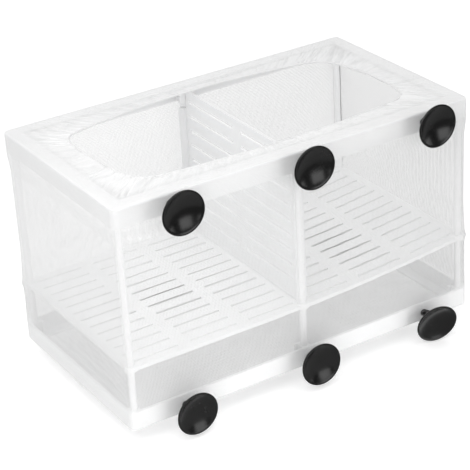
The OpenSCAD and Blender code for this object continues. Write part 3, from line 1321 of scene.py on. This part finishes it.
@dataclass
class SuctionCup:
    """A moulded cup: bulb, neck, stem, flaring back, lip and hollow face."""

    ring_face: float = -73.3
    reach: float = 14.6
    lip_r: float = 14.5
    lip_w: float = 1.0
    lip_t: float = 0.7
    lip_round: float = 0.15
    lip_slope: float = 0.1
    dish: float = 3.8
    flare_depth: float = 8.6
    flare_power: float = 1.12
    flare_rows: int = 14
    hinge: float = 2.0
    bend_from: float = 0.6
    bend_to: float = 4.4
    sides: int = 96

    def profile(self) -> list[tuple[float, float]]:
        """Half section as pairs of radius and distance out from the ring's face.

        Returns:
            Points from the bulb's middle, over the back and lip, to the middle of the face.
        """
        back = [
            (0.0, -4.28), (1.5, -4.28), (2.3, -3.9), (2.75, -3.3), (2.75, -2.1), (2.45, -1.9),
            (1.8, -1.85), (1.8, 0.4), (2.0, 0.49), (2.4, 0.55), (2.5, 0.9), (2.5, 1.8),
            (2.5, 2.8), (2.5, 3.7), (2.7, 4.0), (3.4, 4.12), (3.8, 4.4), (4.1, 5.2),
        ]
        flare = []
        for i in range(1, self.flare_rows + 1):
            t = i / self.flare_rows
            r = mix(back[-1][0], self.lip_r - self.lip_round, t)
            depth = self.flare_depth * (1 - t) ** self.flare_power
            flare.append((r, self.reach - self.lip_t - self.lip_slope - depth))
        flare.append((self.lip_r, self.reach - self.lip_t + self.lip_slope))
        flare.append((self.lip_r, self.reach - self.lip_round))
        flare.append((self.lip_r - self.lip_round, self.reach))
        rim = self.lip_r - self.lip_w
        ball = (rim * rim + self.dish**2) / (2 * self.dish)
        face = [(rim + self.lip_round, self.reach)]
        for i in range(self.flare_rows + 1):
            r = rim * (1 - i / self.flare_rows)
            depth = math.sqrt(ball * ball - r * r) - (ball - self.dish)
            face.append((r, self.reach - depth))
        return back + flare + face

    def place(self, pose: CupPose, point: Vector) -> Vector:
        """Leans a point with the cup's neck and puts it in its place.

        Args:
            pose: Where the cup is and how it leans.
            point: Point before the lean, with the way out of the ring along its z.

        Returns:
            The point in the box's frame, in millimetres.
        """
        lean = smoothstep(self.bend_from, self.bend_to, point.z)
        hinge = Vector((0, -self.hinge, 0))
        local = Vector((point.x, -point.z, point.y))
        angles = Euler((math.radians(pose.nod) * lean, 0, math.radians(pose.turn) * lean))
        moved = hinge + angles.to_matrix() @ (local - hinge)
        moved += Vector((pose.shift_x, 0, pose.shift_z)) * lean
        return moved + Vector((pose.x, self.ring_face, pose.z))

    def make(self, pose: CupPose, rubber: BlackRubber) -> None:
        """Builds one cup.

        Args:
            pose: Where the cup is and how it leans.
            rubber: Its finish.
        """
        profile = self.profile()
        rows = []
        for k, (r, w) in enumerate(profile[1:-1]):
            row = []
            for j in range(self.sides + 1):
                turn = 2 * math.pi * j / self.sides
                point = self.place(pose, Vector((r * math.cos(turn), r * math.sin(turn), w)))
                row.append(Spot(point, (j * 0.9, float(k))))
            rows.append(row)
        piece = Piece(f"suction_cup_{pose.name}_bent")
        verts = piece.grid(rows, closed=True)
        for row, (r, w) in ((verts[0], profile[0]), (verts[-1], profile[-1])):
            middle = piece.mesh.verts.new(self.place(pose, Vector((0, 0, w))) * MM)
            for j in range(self.sides):
                face = piece.mesh.faces.new((row[j], row[(j + 1) % self.sides], middle))
                face.smooth = True
        made = piece.finish(rubber.material(), f"cup_{pose.name}", "cup_rubber")
        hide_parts(f"suction_cup_{pose.name}")


@dataclass(frozen=True)
class Cups:
    """The six cups as they stand in the photograph."""

    poses: tuple[CupPose, ...] = (
        CupPose("top_left", -94, 147, 1.2, -1.6),
        CupPose("top_middle", 0, 147, 0.9, -0.1, 0.0, -2.5),
        CupPose("top_right", 94, 147, 1.1, 1.2),
        CupPose("bottom_left", -94, 6.8, 0.9, -0.5),
        CupPose("bottom_middle", 0, 6.8, 0.8, -0.2, -3.0, -2.0),
        CupPose("bottom_right", 94, 6.8, 3.6, -1.0, 10.6, -12.0),
    )

    def make(self) -> None:
        """Builds the six cups."""
        rubber, cup = BlackRubber(), SuctionCup()
        for pose in self.poses:
            cup.make(pose, rubber)


@dataclass(frozen=True)
class MouldedParts:
    """The rings, posts, tray and divider, which keep their solids."""

    # The rings are one white plastic: the top ring's darker tone is painted shade, the bottom
    # ring's lighter tone painted light.
    top_ring: MouldedPlastic = MouldedPlastic("top_ring_shaded_plastic", 0.88, 0.85, 0.34)
    bottom_ring: MouldedPlastic = MouldedPlastic("bottom_ring_lit_plastic", 0.99, 0.97, 0.34)
    post: MouldedPlastic = MouldedPlastic("moulded_post", 0.93, 0.9, 0.4)
    # The tray's slot walls carry painted light, with painted shade in the middle of each pen.
    tray: MouldedPlastic = MouldedPlastic(
        "moulded_tray", 0.96, 0.93, 0.36, slot_wall_light_tone=0.98, slots_half=(126.0, 66.5),
        pen_shade_tone=0.02, pens=((-62.0, -4.0, 32.0, 22.0), (62.0, -20.0, 24.0, 36.0)),
    )
    # The divider's slot walls carry painted light and its ends carry painted shade.
    divider: MouldedPlastic = MouldedPlastic(
        "moulded_divider", 0.87, 0.85, 0.3, cool=0.004,
        slot_wall_light_tone=1.0, slots_half=(60.0, 144.5), slots_axes=(1, 2),
        ends_shade_tone=0.83, ends_from=62.5,
    )

    def make(self) -> None:
        """Gives each solid its plastic."""
        finishes = {
            "top_frame": self.top_ring, "bottom_frame": self.bottom_ring,
            "breeding_tray": self.tray, "divider": self.divider,
        }
        for name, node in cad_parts.items():
            finish = self.post if name.startswith("post_") else finishes.get(name)
            if finish is None:
                continue
            for slot in node.material_slots:
                slot.material = finish.material()
            LOG.info("%s: %s", name, finish.name)


@dataclass(frozen=True)
class SoftBox:
    """A studio lamp behind a rectangular diffuser."""

    name: str
    azimuth: float
    elevation: float
    distance: float
    width: float
    height: float
    radiance: float
    aim_height: float = 0.08

    def hang(self) -> None:
        """Makes the lamp, turned to the box."""
        way = way_to(math.radians(self.azimuth), math.radians(self.elevation))
        lamp = add_lamp(self.name, self.width, self.height, self.radiance)
        lamp.rotation_mode = "QUATERNION"
        lamp.rotation_quaternion = way.to_track_quat("Z", "Y")
        lamp.location = Vector((0, 0, self.aim_height)) + way * self.distance


@dataclass(frozen=True)
class BounceStrip:
    """A bright strip on the floor that throws light up at the box's front."""

    name: str
    low: tuple[float, float]
    high: tuple[float, float]
    height: float
    radiance: float

    def lay(self) -> None:
        """Makes the strip's lamp, facing up and unseen."""
        (x0, y0), (x1, y1) = self.low, self.high
        lamp = add_lamp(self.name, x1 - x0, y1 - y0, self.radiance)
        lamp.rotation_euler = (math.pi, 0, 0)
        lamp.location = ((x0 + x1) / 2, (y0 + y1) / 2, self.height)
        lamp.visible_glossy = False


@dataclass(frozen=True)
class DarkCard:
    """A card that only shows as a darker patch in glossy surfaces."""

    name: str
    low: tuple[float, float, float]
    high: tuple[float, float, float]
    tone: float

    def stand(self) -> None:
        """Makes the card, lying or upright."""
        (x0, y0, z0), (x1, y1, z1) = self.low, self.high
        corners = [(x0, y0, z0), (x1, y0, z0), (x1, y1, z1), (x0, y1, z1)]
        paper, nodes = new_material(self.name)
        nodes.end(nodes.add("BsdfDiffuse", Color=grey(self.tone)).outputs[0])
        card = add_face(self.name, corners, paper)
        card.visible_camera = card.visible_diffuse = card.visible_shadow = False
        card.visible_transmission = card.visible_volume_scatter = False


@dataclass(frozen=True)
class Studio:
    """White sweep, soft ambient light and soft boxes."""

    ambient: float = 0.52
    from_above: float = 0.45
    from_left: float = 0.1
    floor_z: float = -11.4
    floor_reach: float = 6.0
    floor_tone: float = 0.97
    shadow_share: float = 0.9
    brim: float = 1.17
    lit: float = 0.9
    lamps: tuple[SoftBox, ...] = (
        SoftBox("key_softbox", 11.5, 6.0, 1.15, 0.66, 0.62, 1.5),
        SoftBox("left_softbox", -42.0, 36.0, 0.42, 0.26, 0.26, 1.3),
        SoftBox("top_softbox", -75.0, 64.0, 0.5, 0.32, 0.32, 0.8),
    )
    strip: BounceStrip = BounceStrip(
        "bounce_strip", (-0.16, -0.15), (0.17, -0.093), -0.0112, 0.75
    )
    cards: tuple[DarkCard, ...] = (
        DarkCard("grey_card", (-1.0, -0.34, -0.0095), (1.6, -0.09, -0.0095), 0.33),
        DarkCard("dark_card", (-1.2, -1.7, -0.0105), (2.4, -0.34, -0.0105), 0.09),
        DarkCard("black_card", (-0.6, -1.7, -0.1), (2.4, -1.7, 1.4), 0.07),
    )

    def make(self) -> None:
        """Makes the world, the floor, the cards and the lamps, and sets the view."""
        self.world()
        self.floor()
        for card in self.cards:
            card.stand()
        for lamp in self.lamps:
            lamp.hang()
        self.strip.lay()
        bpy.context.scene.view_settings.view_transform = "Standard"

    @staticmethod
    def seen(nodes: ShaderTree) -> object:
        """Finds the rays that show the background.

        Args:
            nodes: The tree to add to.

        Returns:
            A socket that is 1 for rays from the camera, from gloss and through glass.
        """
        path = nodes.add("LightPath")
        first = nodes.math("MAXIMUM", path.outputs["Is Camera Ray"], path.outputs["Is Glossy Ray"])
        return nodes.math("MAXIMUM", first, path.outputs["Is Transmission Ray"])

    def world(self) -> None:
        """Makes the ambient light, white where it is seen."""
        world = bpy.data.worlds.new("white_studio")
        world.use_nodes = True
        nodes = ShaderTree(world.node_tree)
        light = nodes.add("Background", Color=(1, 1, 1, 1))
        way = nodes.axes(nodes.add("TexCoord").outputs["Generated"])
        above = nodes.math("MULTIPLY", way[2], self.from_above)
        left = nodes.math("MULTIPLY", way[0], -self.from_left)
        level = nodes.math("ADD", nodes.math("ADD", above, left), self.ambient)
        nodes.link(level, light.inputs["Strength"])
        white = nodes.add("Background", Strength=1.0, Color=(1, 1, 1, 1))
        choice = nodes.choose(self.seen(nodes), light.outputs[0], white.outputs[0])
        nodes.end(choice, "OutputWorld")
        bpy.context.scene.world = world

    def floor(self) -> None:
        """Makes the floor, white in the picture but for the box's soft shadow."""
        made, nodes = new_material("sweep_paper")
        paper = nodes.add("BsdfDiffuse", Color=grey(self.floor_tone))
        thin = nodes.add("BsdfDiffuse", Color=grey(self.shadow_share))
        glow = nodes.add("Emission", Strength=self.brim - self.lit * self.shadow_share)
        added = nodes.add("AddShader")
        nodes.link(thin.outputs[0], added.inputs[0])
        nodes.link(glow.outputs[0], added.inputs[1])
        nodes.end(nodes.choose(self.seen(nodes), paper.outputs[0], added.outputs[0]))
        r, z = self.floor_reach, self.floor_z * MM
        sheet = add_face("sweep_floor", [(-r, -r, z), (r, -r, z), (r, r, z), (-r, r, z)], made)


def main() -> None:
    """Builds the camera, the box's pieces and the studio in order."""
    logging.basicConfig(level=logging.INFO, format="%(name)s: %(message)s")
    PhotoCamera().place()
    MouldedParts().make()
    NetBag().make()
    Cups().make()
    Studio().make()


if __name__ == "__main__":
    main()
